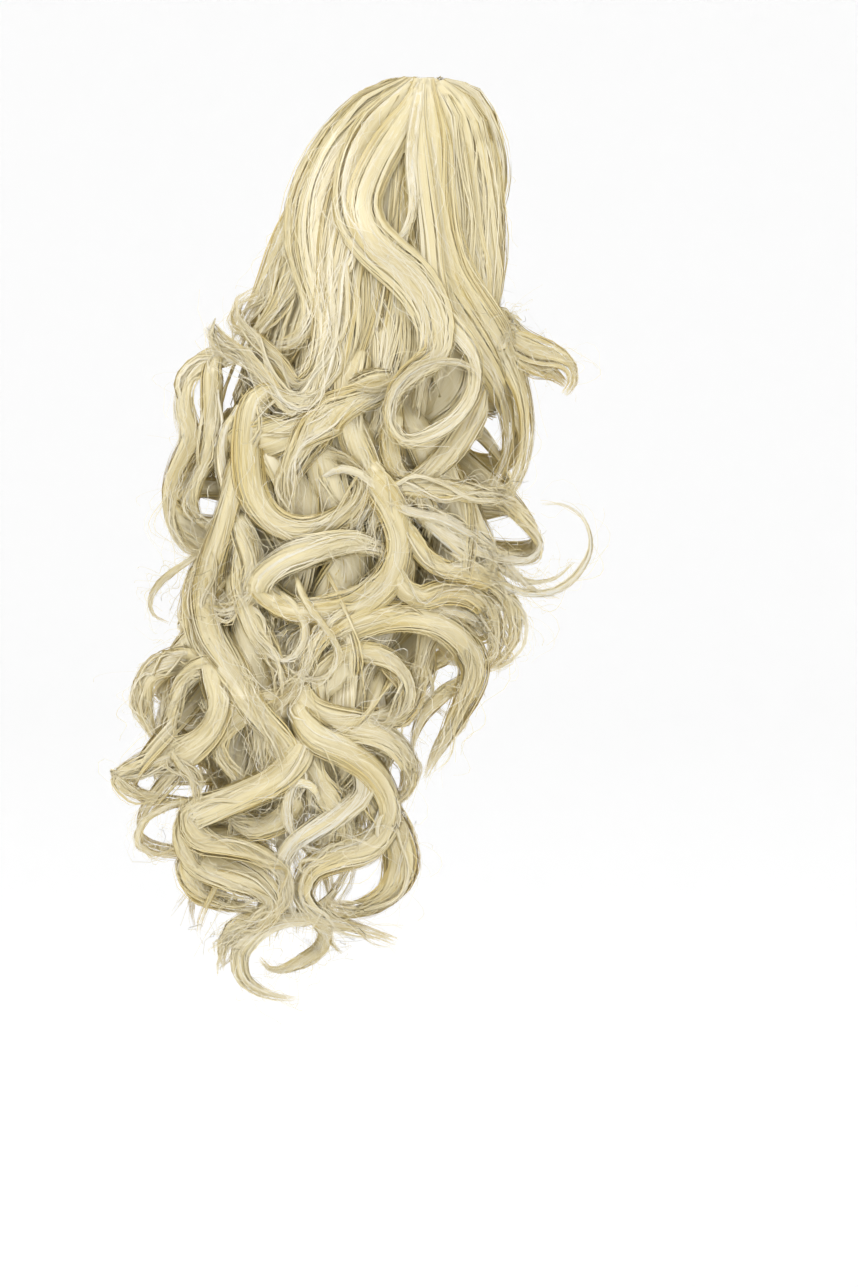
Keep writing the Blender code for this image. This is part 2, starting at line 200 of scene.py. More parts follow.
LOCKS_OF_LEFT = (
    # name, width, over, tip over, route
    ("left_veil", 24, -8, -4, ((408, 80), (386, 96), (350, 136), (318, 180), (296, 225), (277, 262),
        (262, 292), (245, 318), (234, 344))),
    ("left_inner_veil", 24, -8, -2, ((410, 80), (390, 98), (356, 146), (326, 196), (308, 240), (294, 276),
        (279, 305), (262, 326), (246, 350))),
    ("left_band_high", 21, -4, 6, ((412, 79), (378, 122), (350, 172), (337, 220), (333, 262), (331, 302),
        (327, 345), (317, 372), (301, 382), (280, 357), (256, 334), (236, 316), (238, 298), (262, 284))),
    ("left_band_low", 21, -2, 4, ((416, 79), (386, 134), (362, 194), (348, 254), (340, 318), (330, 366),
        (312, 396), (290, 398), (268, 374), (244, 350), (222, 335), (212, 322), (216, 345), (236, 362))),
    ("left_shelf", 32, 0, 4, ((222, 440), (258, 434), (298, 426), (336, 408), (372, 388), (404, 378))),
    ("left_fan", 28, 0, 6, ((404, 372), (366, 386), (332, 408), (306, 440), (290, 476), (292, 506))),
    ("left_j", 25, 12, 0, ((290, 380), (262, 392), (253, 420), (251, 455), (258, 490), (278, 514),
        (308, 523), (338, 513), (359, 493), (363, 470), (350, 453), (326, 447))),
    ("left_loop", 17, 0, 6, ((262, 350), (230, 350), (204, 358), (188, 378), (185, 405), (192, 432),
        (181, 458), (171, 490), (173, 522), (188, 545), (210, 548))),
    ("left_upright", 17, 10, 4, ((222, 340), (213, 360), (212, 385), (213, 418), (209, 450), (197, 476),
        (194, 502), (206, 520), (226, 516))),
    ("left_fall", 25, 4, 8, ((258, 420), (244, 452), (234, 490), (224, 525), (213, 560), (207, 595),
        (215, 628), (233, 652), (252, 680), (268, 708), (280, 735), (288, 760))),
    ("left_side", 24, 0, 2, ((228, 520), (212, 545), (199, 572), (197, 605), (206, 638), (228, 662),
        (252, 668))),
    ("left_hollow", 20, 2, 8, ((236, 500), (248, 530), (256, 562), (250, 590), (230, 604), (208, 600))),
    ("left_hook", 5, 0, -4, ((230, 530), (204, 546), (180, 562), (160, 578), (151, 594), (153, 608),
        (170, 617))),
    ("low_left_back", 20, 0, 0, ((214, 652), (190, 650), (166, 658), (148, 672), (143, 692), (150, 716),
        (162, 738))),
    ("low_left_band", 17, 6, 8, ((232, 650), (206, 656), (188, 672), (176, 698), (171, 724), (180, 747),
        (196, 768), (201, 795))),
    ("low_left", 25, 8, 2, ((200, 640), (216, 664), (224, 690), (217, 716), (196, 737), (166, 750),
        (138, 759), (121, 770), (132, 783), (160, 786))),
    ("low_left_ring", 6, 0, 0, ((215, 800), (192, 792), (165, 800), (144, 815), (139, 835), (156, 846),
        (188, 834))),
)

LOCKS_OF_MIDDLE = (
    # name, width, over, tip over, route
    ("middle_fall", 24, -4, 2, ((366, 330), (352, 372), (350, 408), (360, 440), (371, 470), (366, 502),
        (350, 526))),
    ("left_twist", 20, 2, 6, ((256, 510), (246, 545), (246, 582), (258, 616), (276, 646), (288, 672),
        (284, 702))),
    ("middle_thread", 6, 16, 14, ((296, 560), (308, 592), (326, 616), (340, 644), (332, 662), (308, 666),
        (286, 654))),
    ("fine_right_b", 5, 6, 0, ((434, 508), (468, 532), (500, 562), (528, 576), (556, 572), (574, 556))),
    ("fine_right_c", 5, 2, 2, ((440, 540), (474, 560), (504, 590), (520, 624), (508, 650))),
    ("ring_tail", 19, -2, 4, ((486, 380), (474, 410), (452, 442), (422, 470), (392, 490), (374, 516),
        (372, 545))),
    ("ring_under", 20, -4, 2, ((400, 400), (392, 430), (396, 462), (412, 482), (430, 500), (426, 530))),
    ("centre_fall", 26, 6, 12, ((356, 440), (376, 470), (393, 502), (400, 535), (391, 568), (366, 593),
        (336, 611), (316, 636), (307, 662), (292, 684), (276, 694))),
    ("centre_bowl", 22, 6, 10, ((262, 545), (262, 572), (282, 594), (318, 602), (354, 590), (380, 566),
        (390, 540))),
    ("cross_high", 16, 2, 10, ((372, 455), (384, 474), (412, 479), (445, 482), (480, 488), (508, 497),
        (524, 512))),
    ("right_ring_outer", 16, 6, 2, ((396, 500), (412, 532), (436, 558), (468, 568), (497, 582),
        (513, 606), (513, 632), (503, 650), (488, 661))),
    ("right_ring_inner", 20, 8, 4, ((392, 545), (398, 575), (420, 590), (444, 584), (470, 589),
        (489, 606), (497, 630), (493, 650), (480, 664))),
    ("right_ring_small", 12, 2, 2, ((398, 600), (424, 604), (450, 602), (474, 612), (490, 632),
        (488, 652))),
    ("right_elbow", 24, 12, 2, ((318, 640), (346, 620), (380, 608), (412, 608), (440, 616), (463, 636),
        (474, 660), (467, 688), (453, 716), (439, 742), (424, 770))),
    ("right_thread", 12, 0, 2, ((452, 640), (468, 668), (446, 684), (424, 704), (414, 730), (410, 752))),
    ("ear_curl", 20, 6, 8, ((484, 296), (497, 316), (514, 334), (536, 346), (557, 353), (570, 363),
        (572, 378), (563, 390))),
    ("ear_golden", 22, -2, 2, ((490, 302), (502, 324), (518, 345), (536, 360), (554, 370), (566, 380))),
    ("ear_hook", 8, 12, 12, ((498, 350), (503, 334), (507, 320), (513, 312), (521, 317))),
)

LOCKS_OF_TIPS = (
    # name, width, over, tip over, route
    ("golden_ring", 22, -2, 2, ((304, 706), (276, 692), (246, 698), (228, 716), (224, 742), (240, 768))),
    ("low_right_ring", 18, -6, -2, ((330, 698), (370, 709), (404, 702), (420, 680), (425, 655))),
    ("low_fill", 22, -4, -2, ((306, 726), (316, 762), (336, 794), (350, 824), (346, 850))),
    ("low_left_fill", 22, -6, -2, ((304, 776), (284, 804), (262, 814), (238, 806), (222, 786))),
    ("low_centre_ring", 17, 6, 2, ((316, 690), (322, 664), (338, 648), (364, 641), (391, 650), (408, 672),
        (408, 695), (391, 709), (368, 708))),
    ("low_right_outer", 26, 4, 4, ((290, 652), (298, 676), (312, 696), (338, 709), (370, 718), (396, 735),
        (410, 760), (404, 785), (386, 798))),
    ("low_right_s", 25, 10, 4, ((300, 664), (300, 696), (317, 721), (348, 738), (374, 760), (388, 788),
        (388, 815), (370, 835), (338, 844), (312, 857), (303, 879), (314, 900), (340, 914), (372, 925),
        (397, 934))),
    ("low_right_curl", 28, -8, 4, ((366, 770), (382, 800), (396, 828), (401, 856), (391, 882), (366, 899),
        (341, 900), (324, 886))),
    ("low_diagonal", 24, 8, 4, ((216, 640), (240, 668), (262, 700), (286, 730), (298, 760), (294, 790))),
    ("low_band", 26, 6, 10, ((312, 700), (306, 735), (284, 762), (250, 780), (216, 795), (195, 806),
        (200, 822), (232, 832), (264, 842), (286, 862), (288, 888), (272, 906))),
    ("shell", 28, 2, 6, ((236, 790), (204, 800), (191, 826), (200, 850), (232, 862), (262, 874),
        (274, 892), (260, 910), (236, 922), (220, 942))),
    ("shell_low", 22, -4, 2, ((230, 815), (200, 836), (190, 860), (202, 882), (232, 895), (262, 896))),
    ("tip_arc", 12, 2, 2, ((300, 900), (326, 918), (322, 938), (298, 954), (272, 960), (260, 948))),
    ("tip_left", 18, 0, 0, ((290, 880), (262, 906), (236, 922), (222, 944), (224, 958))),
    ("tip_spike", 6, 6, 2, ((302, 860), (308, 892), (322, 922), (342, 946))),
)

LOCKS_PALE = (
    # name, width, over, tip over, route
    ("ring_right", 13, 6, 24, ((422, 80), (420, 130), (424, 180), (430, 230), (434, 275), (444, 312),
        (463, 334), (475, 358), (472, 388), (456, 412), (430, 429), (404, 434), (391, 416), (396, 386),
        (416, 365), (444, 356), (470, 362), (484, 380))),
    ("left_white", 10, 6, 2, ((240, 400), (226, 430), (224, 462), (232, 492), (240, 520), (232, 548))),
    ("centre_white", 24, 14, 6, ((262, 600), (260, 578), (283, 554), (318, 540), (352, 534), (382, 541),
        (400, 562))),
    ("right_pale", 9, 4, 6, ((404, 498), (420, 510), (448, 528), (476, 544), (504, 553), (529, 553),
        (540, 540), (532, 524), (514, 516))),
    ("wisp_ring", 6, 4, 2, ((400, 500), (430, 520), (462, 548), (492, 572), (524, 587), (556, 584),
        (580, 564), (590, 538), (582, 512), (562, 499), (540, 499))),
    ("small_ring", 8, 12, 10, ((276, 580), (296, 596), (308, 618), (302, 640), (284, 650), (266, 640))),
    ("cross_thin", 8, 6, 12, ((318, 474), (345, 462), (366, 470), (384, 489), (408, 502), (442, 512),
        (472, 529), (500, 546), (520, 548))),
    ("low_thread", 8, 10, 6, ((322, 790), (314, 772), (300, 768), (291, 786), (291, 808), (302, 830),
        (324, 838))),
    ("tip_ring", 15, 2, 6, ((336, 880), (316, 902), (284, 908), (254, 926), (240, 950), (246, 973),
        (268, 985), (300, 990))),
    ("fine_right_a", 6, 4, 4, ((420, 496), (452, 512), (484, 534), (508, 560), (530, 582), (560, 594))),
    ("low_right_cross", 17, 6, 6, ((340, 742), (362, 758), (364, 780), (344, 799), (318, 815), (294, 832),
        (284, 858), (289, 886), (300, 910))),
)

LOCKS_BENEATH = (
    # name, width, over, tip over, route
    ("beneath_left", 34, -13, -11, ((258, 400), (276, 440), (297, 480), (306, 520), (298, 560),
        (284, 600), (280, 640))),
    ("beneath_centre", 34, -12, -10, ((300, 396), (316, 440), (330, 480), (345, 520), (352, 560),
        (345, 600), (330, 640), (320, 690))),
    ("beneath_middle", 34, -13, -11, ((350, 392), (364, 436), (381, 474), (392, 512), (395, 560),
        (386, 604), (370, 644), (358, 690), (350, 735))),
    ("beneath_right", 34, -12, -10, ((400, 390), (420, 430), (440, 470), (452, 512), (448, 560),
        (436, 602), (424, 644), (416, 690))),
    ("beneath_edge", 26, -13, -11, ((452, 470), (472, 512), (482, 556), (478, 600), (466, 640))),
    ("beneath_low_left", 30, -13, -10, ((226, 556), (242, 600), (256, 642), (263, 690), (264, 740),
        (272, 790))),
    ("beneath_low", 30, -12, -8, ((300, 690), (316, 730), (325, 780), (328, 830), (312, 868))),
)

INNER_COUNT = 36
INNER_TIPS = (0.84, 0.97)
FAR_COUNT = 22
FAR_ROUND = (math.radians(175), math.radians(346))
FAR_TIPS = (0.95, 0.66)
DOME_COUNT = 34
DOME_TIPS = (0.42, 0.52)

CURL_RADIUS = 0.020
CURL_SAG = 0.55  # share of the radius by which a curl hangs lower on its outer side
CURL_ONSET = 0.13
LOCK_WANDER = 0.005
LOCK_WIDTH = 0.0105
FULLNESS = 1.12  # how much wider a lock is than the bright band by which its route was read
LOCK_ROUNDNESS = 0.48  # thickness as a share of the width
THICKEST = 0.0050
LOCK_STATIONS = 200
ROLL = math.radians(28)
BODY_SIDES = 10
BODY_STATIONS = 38
BODY_SHARE = 0.90

PARTED_EACH = 5  # thin strands that part from each of the fuller locks
PARTED_FROM = 13  # pixels of width from which a lock is one of the fuller ones
PARTED_SWAY = 6.0  # pixels by which their routes leave the lock's, and at most this
PARTED_MOST = 11
HEAD_SIDE_TUCK = 0.05  # share by which the smooth hair is drawn in at the head side

FIBRE_GOLD = "#CBB064"
FIBRE_HONEY = "#DDCA8B"
FIBRE_BLONDE = "#E9DDB4"
FIBRE_PALE = "#F2EAD2"
FIBRE_ASH = "#F1F0E6"


def spline(knots, rows, at):
    """A smooth curve through the rows, one for each knot, read at the values in at."""
    slopes = np.gradient(rows, knots, axis=0)
    i = np.clip(np.searchsorted(knots, at, side="right") - 1, 0, len(knots) - 2)
    span = (knots[i + 1] - knots[i])[:, None]
    t = ((at - knots[i])[:, None]) / span
    return (
        rows[i] * (2 * t**3 - 3 * t**2 + 1)
        + slopes[i] * span * (t**3 - 2 * t**2 + t)
        + rows[i + 1] * (3 * t**2 - 2 * t**3)
        + slopes[i + 1] * span * (t**3 - t**2)
    )


def ease(x):
    x = np.clip(x, 0.0, 1.0)
    return x * x * (3 - 2 * x)


def unit(v):
    return v / np.maximum(np.linalg.norm(v, axis=-1, keepdims=True), 1e-9)


def kept_clear(points):
    """Moves points out of the head, and parts them like a curtain at the clip's mouth."""
    inside = (points - HEAD_CENTRE) / HEAD_RADII
    depth = np.linalg.norm(inside, axis=-1, keepdims=True)
    points = np.where(depth < 1.0, HEAD_CENTRE + inside / np.maximum(depth, 1e-6) * HEAD_RADII, points)
    half, height = CLIP_ROOM
    forward, upward = PARTING_EASE
    near = ease((points[..., 1] + PARTING_BEHIND) / forward)
    level = ease((height + upward - np.abs(points[..., 2])) / upward)
    least = half * near * level
    x = points[..., 0]
    side = np.where(x < 0, -1.0, 1.0)
    parted = side * np.maximum(np.abs(x), least + 0.15 * np.abs(x) * (least > 0))
    return np.stack((parted, points[..., 1], points[..., 2]), axis=-1)


def tail_at(down):
    """The tail's middle line, as right and toward, and its out share, at shares of its length."""
    out = np.interp(down, FALL[1:, 0], FALL[1:, 1])
    back = np.interp(down, FALL[1:, 0], FALL[1:, 2]) * TAIL_BACK
    return -back * math.sin(SHOW_SIDE), back * math.cos(SHOW_SIDE), out


def outward_at(points):
    """The way out of the tail at its points: level below the dome, and up over the crest."""
    down = (CREST_HEIGHT - points[:, 2]) / TAIL_LENGTH
    right, toward, _ = tail_at(down)
    level = np.minimum(points[:, 2], CREST_HEIGHT - 0.045)
    middle = np.outer(right, ACROSS) + np.outer(toward, TOWARD) + np.outer(level, UP)
    return unit(points - middle)


def framed(points, facing, curled, roll):
    """A lock's line with its sideways and outward directions, rolled a little to and fro."""
    along = unit(np.gradient(points, axis=0))
    side = unit(np.cross(along, facing))
    out = np.cross(side, along)
    turn = (ROLL * curled * np.sin(roll + 9.0 * np.linspace(0, 1, len(points))))[:, None]
    rolled_side = side * np.cos(turn) + out * np.sin(turn)
    rolled_out = out * np.cos(turn) - side * np.sin(turn)
    return points, rolled_side, rolled_out, curled


def shown_line(lock):
    """The line of a lock that has a route in the frame, laid on the tail's near side."""
    name, _, over, tip_over, route = lock
    route = np.array(route, dtype=float)
    knots = np.concatenate(([0.0], np.cumsum(np.linalg.norm(np.diff(route, axis=0), axis=1))))
    share = np.linspace(0.0, 1.0, LOCK_STATIONS)
    path = spline(knots, route, share * knots[-1])
    right = (path[:, 0] - SEAT_PIXEL[0]) * PIXEL
    height = (SEAT_PIXEL[1] - path[:, 1]) * PIXEL
    down = ((CREST_HEIGHT - height) / TAIL_LENGTH).clip(0.0, 1.0)
    middle_right, middle_toward, out = tail_at(down)
    from_middle = (right - middle_right) / (out * TAIL_HALF_WIDTH)
    belly = np.sqrt(np.clip(1 - 0.85 * from_middle**2, 0.08, 1.0))
    sunk = SUNK_START * (1 - ease(share / 0.12)) if route[0][1] > CREST_ROW else 0.0
    lift = (STAND_OFF + over + (tip_over - over) * share - sunk) * PIXEL
    toward = middle_toward + belly * out * TAIL_HALF_DEPTH + lift
    window = np.hanning(SMOOTHING) / np.hanning(SMOOTHING).sum()
    toward = np.convolve(np.pad(toward, SMOOTHING // 2, mode="edge"), window, mode="valid")
    points = np.outer(right, ACROSS) + np.outer(toward, TOWARD) + np.outer(height, UP)
    curled = ease((down - 0.25) / CURL_ONSET)
    facing = unit(outward_at(points) * 0.5 + TOWARD)
    return framed(kept_clear(points), facing, curled, len(name))


def spaced_line(lock):
    """The line of a lock placed by rule: down the tail's guide ring, and round its own barrel."""
    place, fill, tuck, start, tip, radius, turns, phase = lock
    steps = np.diff(FALL * (TAIL_LENGTH, TAIL_HALF_WIDTH, TAIL_BACK), axis=0)
    knots = np.concatenate(([0.0], np.cumsum(np.linalg.norm(steps, axis=1))))
    end = np.interp(tip, FALL[1:, 0], knots[1:])
    down, out, back = spline(knots, FALL, np.linspace(0.0, end, LOCK_STATIONS)).T
    fallen = np.arange(LOCK_STATIONS) > np.argmin(down)
    curled = np.where(fallen, ease((down - start) / CURL_ONSET), 0.0)[:, None]
    drawn_in = HEAD_SIDE_TUCK * max(math.cos(place), 0.0)
    fill = fill * (1 - tuck * curled[:, 0]) - drawn_in * (1 - curled[:, 0])
    ring = np.outer(math.cos(place) * fill * out * TAIL_HALF_WIDTH, ACROSS)
    ring += np.outer(math.sin(place) * fill * out * TAIL_HALF_DEPTH, TOWARD)
    ring += curled * LOCK_WANDER * np.outer(np.sin(14 * down + 9 * phase), ACROSS)
    ring += curled * LOCK_WANDER * np.outer(np.sin(17 * down + 23 * phase), TOWARD)
    height = CREST_HEIGHT - down * TAIL_LENGTH
    guide = ring + np.outer(back * TAIL_BACK, BACK) + np.outer(height, UP)
    angle = 2 * math.pi * (phase + turns * (down - start) / (tip - start))
    round_it = np.outer(np.cos(angle), ACROSS) + np.outer(np.sin(angle), TOWARD)
    outward = math.cos(place) * ACROSS + math.sin(place) * TOWARD
    sag = (round_it @ outward)[:, None] * CURL_SAG
    points = kept_clear(guide + curled * radius * CURL_RADIUS * (round_it - sag * UP))
    facing = unit(outward_at(points) * (1 - curled) + round_it * curled)
    step = np.linalg.norm(np.diff(points, axis=0), axis=1) * (0.35 + 0.65 * curled[1:, 0])
    travel = np.concatenate(([0.0], np.cumsum(step)))
    even = np.linspace(0.0, travel[-1], LOCK_STATIONS)
    rows = np.concatenate((points, facing, curled), axis=1)
    rows = np.stack([np.interp(even, travel, column) for column in rows.T], axis=1)
    return framed(rows[:, :3], rows[:, 3:6], rows[:, 6], phase * 7)


def shown_locks(table):
    """(line, width in metres) for each row of a table of routes."""
    return [(shown_line(lock), lock[1] * PIXEL * FULLNESS) for lock in table]


def parted_strands(table, rng):
    """(line, width) for the thin strands that part from the fuller locks of a table."""
    made = []
    for name, width, over, tip_over, route in table:
        if width <= PARTED_FROM or name.startswith("ear"):
            continue
        for _ in range(PARTED_EACH):
            sway = rng.normal(0, PARTED_SWAY, (len(route), 2)).clip(-PARTED_MOST, PARTED_MOST)
            sway[0] *= 0.2
            strayed = tuple(map(tuple, np.array(route) + sway))
            row = (name, width, over + rng.uniform(-6, 8), tip_over + rng.uniform(-6, 9), strayed)
            made.append((shown_line(row), rng.uniform(1.5, 5.5) * PIXEL))
    return made


def far_locks(rng):
    """(line, width) for the locks spaced round the side that the photo hides."""
    made = []
    places = np.linspace(*FAR_ROUND, FAR_COUNT)
    tips = np.linspace(*FAR_TIPS, FAR_COUNT)
    for k, (place, tip) in enumerate(zip(places, tips, strict=True)):
        turns = rng.uniform(2.4, 3.8) * (-1) ** k
        fill, start, radius = rng.uniform((0.90, 0.26, 0.7), (1.04, 0.40, 1.25))
        row = (place, fill, 0.0, start, tip, radius, turns, 0.37 * k)
        made.append((spaced_line(row), LOCK_WIDTH * rng.uniform(0.8, 1.4)))
    return made


def inner_locks(rng):
    """(line, width) for the broad waves just under the surface and the curls in the core."""
    made = []
    for k in range(INNER_COUNT):
        tip = INNER_TIPS[0] + (INNER_TIPS[1] - INNER_TIPS[0]) * (k % 5) / 4
        fill, radius, girth = ((0.91, 0.16, 2.0), (0.87, 0.24, 1.8), (0.50, 0.60, 1.5))[k % 3]
        turns = rng.uniform(2.2, 3.4) * (-1) ** k
        place = 2 * math.pi * k / INNER_COUNT
        fill = fill - 0.24 * math.cos(place) ** 2
        row = (place, fill, 0.04, 0.36, tip, radius, turns, 0.29 * k)
        made.append((spaced_line(row), LOCK_WIDTH * girth))
    return made


def dome_locks():
    """(line, width) for the short smooth locks that close the dome all round."""
    made = []
    for k in range(DOME_COUNT):
        tip = DOME_TIPS[0] + (DOME_TIPS[1] - DOME_TIPS[0]) * (3 * k % 5) / 4
        row = (2 * math.pi * k / DOME_COUNT, 0.96, 0.32, 0.28, tip, 0.4, 1.0 * (-1) ** k, 0.23 * k)
        made.append((spaced_line(row), LOCK_WIDTH * 1.9))
    return made


def half_sizes(width, share, curl, fined):
    """Half the width and half the thickness of a lock at shares of its length, flatter uncurled."""
    full_to = np.interp(width, (0.016, 0.020), (0.52, 0.78))
    taper = (0.35 + 0.65 * ease(share / 0.16)) * (1.0 - fined * ease((share - full_to) / (0.98 - full_to)))
    return width / 2 * taper, min(width * LOCK_ROUNDNESS, THICKEST) / 2 * taper * (0.3 + 0.7 * curl)


def mesh_from(name, verts, faces, uvs, finish, normals=None):
    """One object from joined arrays: points, quads of point numbers, a UV for each corner, normals."""
    mesh = bpy.data.meshes.new(name)
    mesh.vertices.add(len(verts))
    mesh.vertices.foreach_set("co", verts.astype(np.float32).ravel())
    mesh.loops.add(faces.size)
    mesh.loops.foreach_set("vertex_index", faces.astype(np.int32).ravel())
    mesh.polygons.add(len(faces))
    mesh.polygons.foreach_set("loop_start", np.arange(0, faces.size, faces.shape[1], dtype=np.int32))
    mesh.polygons.foreach_set("use_smooth", np.ones(len(faces), dtype=bool))
    mesh.uv_layers.new(name="OFBake").data.foreach_set("uv", uvs.astype(np.float32).ravel())
    mesh.update(calc_edges=True)
    mesh.validate()
    if normals is not None:
        mesh.normals_split_custom_set_from_vertices(normals)
    mesh.materials.append(finish)
    made = bpy.data.objects.new(name, mesh)
    bpy.context.scene.collection.objects.link(made)
    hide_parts("hair")
    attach(made, "root")
    return made


def fibre_material(name, streaks, spread, middle):
    """Heat-set polyester fibre: pale, silky, each fibre a little off its neighbour's colour."""
    made, tree, shader = new_material(name)
    uv = node(tree, "ShaderNodeUVMap", {"uv_map": "OFBake"}).outputs["UV"]
    place = node(tree, "ShaderNodeMapping", {"Scale": (streaks, 2.2, 1.0)}, Vector=uv).outputs["Vector"]
    streak = node(
        tree, "ShaderNodeTexNoise", {"Scale": 1.0, "Detail": 3.0, "Roughness": 0.6}, Vector=place
    ).outputs["Fac"]
    tone = node(tree, "ShaderNodeMath", {"operation": "MULTIPLY_ADD"})
    tree.links.new(streak, tone.inputs[0])
    tone.inputs[1].default_value = spread
    if middle is None:
        across = node(tree, "ShaderNodeSeparateXYZ", Vector=uv).outputs["X"]
        shifted = node(tree, "ShaderNodeMath", {"operation": "SUBTRACT"})
        tree.links.new(across, shifted.inputs[0])
        shifted.inputs[1].default_value = spread / 2
        tree.links.new(shifted.outputs[0], tone.inputs[2])
    else:
        tone.inputs[2].default_value = middle - spread / 2
    stops = [(0.0, FIBRE_GOLD), (0.28, FIBRE_HONEY), (0.52, FIBRE_BLONDE)]
    stops += [(0.8, FIBRE_PALE), (1.0, FIBRE_ASH)]
    tree.links.new(ramp_of(tree, tone.outputs[0], stops), shader.inputs["Base Color"])
    sideways = node(tree, "ShaderNodeTangent", {"direction_type": "UV_MAP", "uv_map": "OFBake"})
    tree.links.new(sideways.outputs["Tangent"], shader.inputs["Tangent"])
    shader.inputs["Roughness"].default_value = 0.30
    shader.inputs["Anisotropic"].default_value = 0.85
    shader.inputs["IOR"].default_value = 1.6
    shader.inputs["Specular IOR Level"].default_value = 0.6
    shader.inputs["Sheen Weight"].default_value = 0.15
    shader.inputs["Sheen Roughness"].default_value = 0.4
    shader.inputs["Sheen Tint"].default_value = linear(FIBRE_PALE)
    return made


def lock_bodies(name, locks, finish):
    """Closed bodies of the locks: oval sections swept along their lines."""
    turn = np.linspace(0, 2 * math.pi, BODY_SIDES, endpoint=False)
    share = np.linspace(0.0, 1.0, BODY_STATIONS)
    s, r = (g.ravel() for g in np.mgrid[0 : BODY_STATIONS - 1, 0:BODY_SIDES])
    nxt = (r + 1) % BODY_SIDES
    corners = ((s, r), (s, nxt), (s + 1, nxt), (s + 1, r))
    quad = np.stack([a * BODY_SIDES + b for a, b in corners], axis=1)
    u = np.stack((r, r + 1, r + 1, r), axis=1) / BODY_SIDES
    v = np.stack((s, s, s + 1, s + 1), axis=1) / (BODY_STATIONS - 1)
    rings = []
    for (points, side, out, curled), width in locks:
        at = np.linspace(0, 0.94 * (len(points) - 1), BODY_STATIONS).astype(int)
        half, thick = half_sizes(width * BODY_SHARE, share, curled[at], 0.97)
        half = half * (0.75 + 0.25 * curled[at])
        ring = points[at, None] + side[at, None] * (half[:, None] * np.cos(turn))[..., None]
        ring = ring + out[at, None] * (thick[:, None] * np.sin(turn))[..., None]
        rings.append(kept_clear(ring.reshape(-1, 3)))
    starts = np.arange(len(locks))[:, None, None] * BODY_SIDES * BODY_STATIONS
    faces = (starts + quad).reshape(-1, 4)
    uvs = np.tile(np.stack((u, v), axis=-1).reshape(-1, 2), (len(locks), 1))
    made = mesh_from(name, np.concatenate(rings), faces, uvs, finish)
    closed = bmesh.new()
    closed.from_mesh(made.data)
    ends = [e for e in closed.edges if e.is_boundary]
    bmesh.ops.holes_fill(closed, edges=ends, sides=BODY_SIDES)
    bmesh.ops.recalc_face_normals(closed, faces=closed.faces)
    closed.to_mesh(made.data)
    closed.free()
    return made


body_finish = fibre_material("heat_set_polyester_lock", 60.0, 0.5, 0.46)
# The hidden locks get a copy of the fibre finish set paler than the shown locks' bodies, as painted light
# that lifts the shade in the gaps between the shown locks.
painted_paler_hidden_finish = fibre_material("heat_set_polyester_painted_paler_hidden", 60.0, 0.4, 0.54)
lock_rng = np.random.default_rng(5)
of_dome, of_left = shown_locks(LOCKS_OF_DOME), shown_locks(LOCKS_OF_LEFT)
of_middle, of_tips = shown_locks(LOCKS_OF_MIDDLE), shown_locks(LOCKS_OF_TIPS)
of_pale = shown_locks(LOCKS_PALE)
far, inner, under = far_locks(lock_rng), inner_locks(lock_rng), dome_locks()
beneath = shown_locks(LOCKS_BENEATH)
lock_bodies("lock_bodies", of_dome + of_left + of_middle + of_tips + of_pale, body_finish)
# The hidden locks' bodies take the finish painted paler, to lift the shade in the gaps.
lock_bodies("hidden_lock_bodies", far + inner + under + beneath, painted_paler_hidden_finish)


# The fibres of the locks: thousands of drawn polyester filaments. Each is laid as a narrow ribbon
# with its own tone and roll. One ribbon stands for some six real 0.08 mm fibres, because single
# ones are too fine to show. They cling in strands, and the strands lie side by side on the lock.

FIBRE_WIDTH = 0.00048
FIBRE_STEP = 0.0055  # metres from one station of a curled fibre to the next
STRAND_WIDTH = 0.0013
STRAND_CROWD = 2.5  # strands round a lock for each that fits across it
STRAND_BULGE = 0.05  # share by which a strand stands in and out
STRAND_DRIFT = 0.35  # radians by which it wanders round the lock
LOCK_TWIST = 0.9  # radians by which a curled lock is twisted
LOOSE_SHARE = 0.06  # share of the fibres that lie loose on their lock
STRAY_WIDTH = 0.00034
STRAY_STATIONS = 20
STRAY_MOST = 0.011
THIN_LOCK_GLOW_WIDTH = 0.005  # a thin lock is painted paler, as painted light that passes through it
ROUND_LOOK = 0.42  # how round the fibres shade their lock: 0 for flat, 1 for a barrel


def ribbons(points, sideways, normals, widths, tones):
    """Points, quads, UVs and shading normals of ribbons: points are (ribbons, stations, 3)."""
    count, stations, _ = points.shape
    half = sideways * widths[..., None] / 2
    verts = np.stack((points + half, points - half), axis=2).reshape(-1, 3)
    corner = (np.arange(count)[:, None] * stations + np.arange(stations - 1)) * 2
    faces = np.stack((corner, corner + 1, corner + 3, corner + 2), axis=-1).reshape(-1, 4)
    v = np.linspace(0, 1, stations)
    low, high, _ = np.broadcast_arrays(v[:-1], v[1:], np.zeros((count, 1)))
    first, last = tones[:, :-1], tones[:, 1:]
    corners = ((first - 0.02, low), (first + 0.02, low), (last + 0.02, high), (last - 0.02, high))
    uvs = np.stack([np.stack(c, axis=-1) for c in corners], axis=2).reshape(-1, 2)
    return verts, faces, uvs, np.repeat(normals.reshape(-1, 3), 2, axis=0)


def waves(rng, count, share, slow, fast):
    """Smooth wandering, one row for each fibre, about -1 to 1."""
    a = rng.uniform(0, 2 * math.pi, (count, 1))
    b = rng.uniform(0, 2 * math.pi, (count, 1))
    return 0.65 * np.sin(slow * share + a) + 0.35 * np.sin(fast * share + b)


